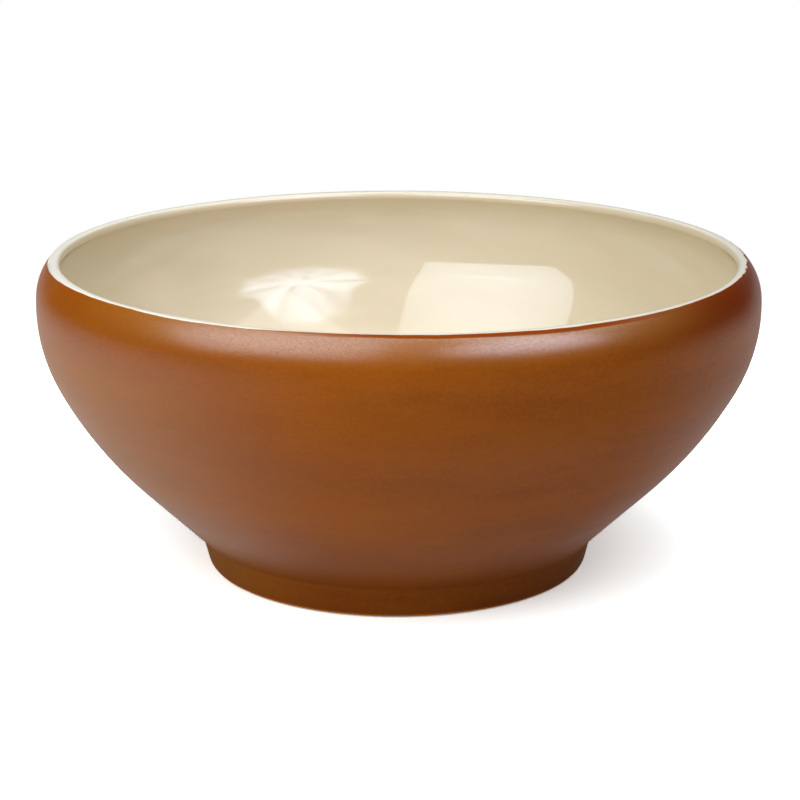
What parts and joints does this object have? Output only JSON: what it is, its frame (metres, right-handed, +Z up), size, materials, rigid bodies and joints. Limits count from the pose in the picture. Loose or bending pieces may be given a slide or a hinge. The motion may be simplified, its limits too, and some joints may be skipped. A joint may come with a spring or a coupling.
{
  "type": "bowl",
  "caption": "Round footed serving bowl with a full belly turned in to a soft lip, glossy cream glaze inside and over the lip, satin brown glaze outside.",
  "frame": {"origin": "centre of the foot's resting face, on the axis that the bowl is turned about", "axes": "+Z up along the bowl's axis, out of its mouth; the bowl is round, so +X and +Y are any two level directions"},
  "size_m": [0.28, 0.28, 0.123],
  "materials": {
    "bare_clay": "matte",
    "cream_glaze": "gloss",
    "brown_glaze": "satin"
  },
  "bodies": {
    "root": {"clay_body": "bare_clay", "foot_ring": "bare_clay", "liner_glaze": "cream_glaze", "outer_glaze": "brown_glaze", "underside_glaze": "brown_glaze"}
  },
  "joints": []
}
